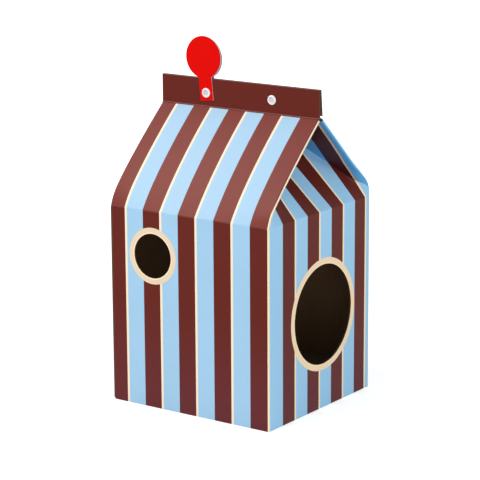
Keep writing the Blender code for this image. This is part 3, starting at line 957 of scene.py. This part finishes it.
def gusset_line(end, place):
    """
    Foot, head and printed run of the stripe line at this place: 0 at the front corner,
    1 in the middle, 2 at the back corner, counted along the diagonal creases.
    """
    side = FRONT if place < 1 else BACK
    reach = place if place < 1 else 2 - place
    along = min(reach, GABLE_TOP)
    run = crease_run(along)
    head = crease_place(side, end, along)
    if reach > GABLE_TOP:
        share = (reach - GABLE_TOP) / (1 - GABLE_TOP)
        middle = (crease_place(FRONT, end, GABLE_TOP) + crease_place(BACK, end, GABLE_TOP)) / 2
        run = lerp(run, END_MIDDLE, share)
        head = head.lerp(middle, share)
    return Vector((end * HALF_WIDTH, side * (END_MIDDLE - run), EAVE_Z)), head, run, side


def gusset_point(end, place, row):
    """
    A point of the gusset's printed face. A stripe line runs straight from the eave crease
    to the diagonal crease; in the middle of the gusset it dishes in on the way.
    """
    foot, head, run, side = gusset_line(end, place)
    depth = between(run, (TRUE_BROWN_END, 0.0), (0.097, 0.0069), (0.150, 0.0133))
    peak = between(run, (0.097, 0.88), (0.150, 0.55))
    swell = row / peak if row < peak else 1 - smooth((row - peak) / (1 - peak))
    return foot.lerp(head, row) - Vector((end * depth * swell, 0, 0))


def make_gusset(name, end):
    def placed(column):
        return column if end == RIGHT else 2 - column

    def outer(column, row):
        place = placed(column)
        if row <= 0.0:
            return gusset_line(end, place)[0] + Vector((0, 0, row)), Vector((end, 0, 0))
        step = 0.01
        low, high = max(row - step, 0.0), min(row + step, 1.0)
        up = gusset_point(end, place, high) - gusset_point(end, place, low)
        before, after = max(place - step, 0.001), min(place + step, 1.999)
        across = gusset_point(end, after, row) - gusset_point(end, before, row)
        normal = (across.cross(up) * end).normalized()
        straight = Vector((end, 0, 0))
        near_corner = 1 - smooth((min(place, 2 - place) - 0.02) / 0.12)
        if normal.x * end < 0.2:
            normal = straight
        return gusset_point(end, place, row), normal.lerp(straight, near_corner).normalized()

    def blank(column, row):
        place = placed(column)
        foot, head, run, side = gusset_line(end, place)
        up = row if row <= 0 else row * min(place, 2 - place) * SLOPE_LENGTH
        return end_side_phase(end, side * (END_MIDDLE - run)), EAVE_Z + up

    half = [0.002] + gable_rows(0.0, 40)[1:] + [0.995]
    columns = half + [1.0] + [2 - c for c in reversed(half)]
    rows = [-CREASE, -CREASE / 2, 0.0, 0.012] + spread(0.04, 1.0, 26)
    sheet = Sheet(name, outer, blank, slot_name="end_print")
    sheet.grid(columns, rows)
    piece = sheet.build()
    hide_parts(name)
    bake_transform(piece)


make_gusset("left_gusset", LEFT)
make_gusset("right_gusset", RIGHT)


# Fins


# A small notch at each end of the back fin's foot
NOTCH_WIDTH = 0.008
NOTCH_HEIGHT = 0.0045
FIN_ROWS = [
    ROOF_TOP - 1, (ROOF_TOP - 1) / 2, -0.0005, 0.0004, 0.0006, 0.003, 0.0044, 0.0046,
    0.008, 0.016, 0.028, 0.040, 0.050, 0.0548, FIN_HEIGHT,
]


def make_fin(name, side, lean):
    up_way = Vector((0, -side * math.sin(lean), math.cos(lean)))
    out_way = Vector((0, side * math.cos(lean), math.sin(lean)))
    base = Vector((0, side * FIN_HALF, RIDGE_Z))

    def outer(column, row):
        x = -side * column
        if row <= 0:
            along = 1 + row
            if side == BACK:
                x *= FLAT_HALF_WIDTH / HALF_WIDTH
            return roof_point(side, x, along), roof_normal(side, x, along)
        if side == BACK and row < NOTCH_HEIGHT:
            x *= (HALF_WIDTH - NOTCH_WIDTH) / HALF_WIDTH
        return base + Vector((x, 0, 0)) + up_way * row, out_way

    def blank(column, row):
        return 0.02 + column * 0.0001, RIDGE_UP + row

    sheet = Sheet(name, outer, blank, materials=[fin_print, kraft, cut_edge], slot_name="fin_print")
    sheet.grid(spread(-HALF_WIDTH + GAP, HALF_WIDTH - GAP, 30), FIN_ROWS)
    piece = sheet.build()
    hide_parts(name)
    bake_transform(piece)


make_fin("front_fin", FRONT, 0.0)
make_fin("back_fin", BACK, BACK_FIN_LEAN)


# Tags


TAG_THICKNESS = 0.0010
TAG_DISC_RADIUS = 0.0426
TAG_DISC_HEIGHT = 0.0712
TAG_STEM_HALF = 0.0158
TAG_STEM_DROP = 0.0160
TAG_HOLE_RADIUS = 0.0050
TAG_TILT = math.radians(5.5)
TAG_SQUARE = 0.0090


def tag_half_width(up):
    disc = TAG_DISC_RADIUS ** 2 - (up - TAG_DISC_HEIGHT) ** 2
    if up < TAG_DISC_HEIGHT:
        return max(TAG_STEM_HALF, math.sqrt(max(disc, 0.0)))
    return math.sqrt(max(disc, 0.0))


def make_tag(name, side, lean):
    """A round card tag on a stem: red outside, bare white card inside and at its edges, greyed to lavender
    as painted shade.
    """
    fin_up = Vector((0, -side * math.sin(lean), math.cos(lean)))
    outwards = Vector((0, side * math.cos(lean), math.sin(lean)))
    off_fin = GAP + TAG_THICKNESS / 2
    along_fin = (RIVET_Z - RIDGE_Z - off_fin * math.sin(lean)) / math.cos(lean)
    middle = Vector((-RIVET_X, side * FIN_HALF, RIDGE_Z)) + fin_up * along_fin + outwards * off_fin
    across_way = Vector((math.cos(TAG_TILT), 0, 0)) + fin_up * math.sin(TAG_TILT)
    up_way = fin_up * math.cos(TAG_TILT) - Vector((math.sin(TAG_TILT), 0, 0))

    def outer(column, row):
        x = -side * column * tag_half_width(row) / TAG_STEM_HALF
        return middle + across_way * x + up_way * row + outwards * TAG_THICKNESS / 2, outwards

    def blank(column, row):
        return column, row

    sheet = Sheet(name, outer, blank, TAG_THICKNESS, [tag_red, shaded_tag_white, shaded_tag_white], "tag_card")
    sheet.square_half = TAG_SQUARE
    middle_square = spread(-TAG_SQUARE, TAG_SQUARE, 8)
    columns = merged(
        spread(-TAG_STEM_HALF, -TAG_SQUARE, 2), middle_square, spread(TAG_SQUARE, TAG_STEM_HALF, 2)
    )
    start = math.asin(TAG_STEM_HALF / TAG_DISC_RADIUS) - math.pi / 2
    turns = spread(start, math.radians(87), 34)
    disc = [TAG_DISC_HEIGHT + TAG_DISC_RADIUS * math.sin(turn) for turn in turns]
    rows = merged([-TAG_STEM_DROP], middle_square, spread(TAG_SQUARE, disc[0], 4), disc)
    i0, j0 = columns.index(-TAG_SQUARE), rows.index(-TAG_SQUARE)
    points = sheet.grid(columns, rows, (i0, i0 + 8, j0, j0 + 8))
    sheet.hole(points, (i0, j0), 8, (0.0, 0.0), TAG_HOLE_RADIUS, 2)
    tag = sheet.build()
    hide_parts(name)
    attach(tag, name + "_body")


make_tag("front_tag", FRONT, 0.0)
make_tag("back_tag", BACK, BACK_FIN_LEAN)


# Carried-over nodes


def dress(node, material):
    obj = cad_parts[node]
    obj.data.materials.clear()
    obj.data.materials.append(material)


for name, end in (("left", LEFT), ("right", RIGHT)):
    dress(f"{name}_rivet_pin", rivet_white[end])
    dress(f"{name}_rivet_socket", rivet_white[end])
dress("glue_flap", kraft_plain)
for name in ("front", "back", "left", "right"):
    dress(f"{name}_bottom_flap", kraft_plain)
dress("scratch_pad", pad_board)


# Camera, light, floor


# Fitted to the photograph
CAMERA_TURN = [math.radians(a) for a in (35.346, 13.385, -0.2987)]
CAMERA_AIM_Z = 0.3203
CAMERA_DISTANCE = 4.2282
FOCAL_PIXELS = 2105.7
CENTRE_PIXEL = (241.55, 239.99)
FRAME_PIXELS = 480


def make_camera():
    azimuth, elevation, roll = CAMERA_TURN
    level = math.cos(elevation)
    back = Vector((math.sin(azimuth) * level, -math.cos(azimuth) * level, math.sin(elevation)))
    right_0 = Vector((math.cos(azimuth), math.sin(azimuth), 0))
    up_0 = back.cross(right_0)
    right = right_0 * math.cos(roll) + up_0 * math.sin(roll)
    up = up_0 * math.cos(roll) - right_0 * math.sin(roll)
    eye = Vector((0, 0, CAMERA_AIM_Z)) + back * CAMERA_DISTANCE
    data = bpy.data.cameras.new("camera")
    data.sensor_width = 36.0
    data.lens = data.sensor_width * FOCAL_PIXELS / FRAME_PIXELS
    data.shift_x = 0.5 - CENTRE_PIXEL[0] / FRAME_PIXELS
    data.shift_y = CENTRE_PIXEL[1] / FRAME_PIXELS - 0.5
    data.clip_end = 50
    camera = bpy.data.objects.new("camera", data)
    camera.matrix_world = Matrix.Translation(eye) @ Matrix((right, up, back)).transposed().to_4x4()
    bpy.context.scene.collection.objects.link(camera)
    bpy.context.scene.camera = camera


def background_rays(tree):
    """1 for camera, glossy and transmission rays, which see the white background."""
    path = tree.nodes.new("ShaderNodeLightPath")
    seen = path.outputs["Is Camera Ray"]
    for kind in ("Is Glossy Ray", "Is Transmission Ray"):
        either = tree.nodes.new("ShaderNodeMath")
        either.operation = "MAXIMUM"
        tree.links.new(seen, either.inputs[0])
        tree.links.new(path.outputs[kind], either.inputs[1])
        seen = either.outputs[0]
    return seen


FLOOR_GLOW = 0.56
GLOW_FADE = (0.8, 3.0)
FLOOR_COLOUR = (0.80, 0.80, 0.80)
FLOOR_BLOTCH = (0.78, 0.78, 0.78)
FLOOR_HALF = 12.0
SKY = (0.93, 0.97, 1.0)
SKY_STRENGTH = 0.50


def make_floor():
    """
    Pale floor. What the background rays see of it is made whiter: less so near the object,
    where its shadow stays, and fully far off.
    """
    mesh = bpy.data.meshes.new("floor")
    s = FLOOR_HALF
    mesh.from_pydata([(-s, -s, 0), (s, -s, 0), (s, s, 0), (-s, s, 0)], [], [(0, 1, 2, 3)])
    floor = bpy.data.objects.new("floor", mesh)
    bpy.context.scene.collection.objects.link(floor)
    m = Nodes("floor_white", 0.9)
    place = m.object_place()
    grain = m.noise(place, 3.0, 2.0, 0.5)
    m.put(m.shader.inputs["Base Color"], m.mix(m.math("MULTIPLY", grain, 0.02), FLOOR_COLOUR, FLOOR_BLOTCH))
    m.shader.inputs["Specular IOR Level"].default_value = 0.0
    length = m.node("ShaderNodeVectorMath", operation="LENGTH")
    m.put(length.inputs[0], place)
    strength = m.node("ShaderNodeMapRange", interpolation_type="SMOOTHSTEP")
    m.put(strength.inputs["Value"], length.outputs["Value"])
    for key, value in zip(("From Min", "From Max", "To Min", "To Max"), (*GLOW_FADE, FLOOR_GLOW, 1.0)):
        strength.inputs[key].default_value = value
    glow = m.node("ShaderNodeEmission")
    glow.inputs["Color"].default_value = (1, 1, 1, 1)
    m.put(glow.inputs["Strength"], m.math("MULTIPLY", background_rays(m.tree), strength.outputs[0]))
    add = m.node("ShaderNodeAddShader")
    m.put(add.inputs[0], m.shader.outputs[0])
    m.put(add.inputs[1], glow.outputs[0])
    m.put(m.tree.nodes["Material Output"].inputs["Surface"], add.outputs[0])
    mesh.materials.append(m.material)


def make_light(name, energy, place, target, size, colour):
    data = bpy.data.lights.new(name, "AREA")
    data.energy = energy
    data.shape = "RECTANGLE"
    data.size, data.size_y = size
    data.color = colour
    light = bpy.data.objects.new(name, data)
    light.location = place
    way = (Vector(place) - Vector(target)).normalized()
    light.rotation_euler = way.to_track_quat("Z", "Y").to_euler()
    bpy.context.scene.collection.objects.link(light)


def make_world():
    world = bpy.data.worlds.new("studio")
    bpy.context.scene.world = world
    world.use_nodes = True
    tree = world.node_tree
    tree.nodes.clear()
    output = tree.nodes.new("ShaderNodeOutputWorld")
    mix = tree.nodes.new("ShaderNodeMixShader")
    tree.links.new(background_rays(tree), mix.inputs["Fac"])
    for slot, colour, strength in ((1, SKY, SKY_STRENGTH), (2, (1, 1, 1), 1.0)):
        background = tree.nodes.new("ShaderNodeBackground")
        background.inputs["Color"].default_value = (*colour, 1.0)
        background.inputs["Strength"].default_value = strength
        tree.links.new(background.outputs[0], mix.inputs[slot])
    tree.links.new(mix.outputs[0], output.inputs["Surface"])


make_camera()
make_floor()
make_world()
# A compact soft box up on the left, which the roof mirrors softly, and two broad fills
make_light("roof_box", 80.0, (-2.3, -1.45, 3.25), (0, 0, 0.5), (1.6, 2.2), (1.0, 0.72, 0.62))
make_light("front_fill", 81.0, (-1.0, -5.2, 1.5), (0, 0, 0.3), (3.0, 2.0), (1.0, 0.95, 0.93))
make_light("side_fill", 102.0, (5.0, -0.8, 2.2), (0, 0, 0.3), (3.0, 2.0), (0.93, 0.97, 1.0))
bpy.context.scene.view_settings.view_transform = "Standard"
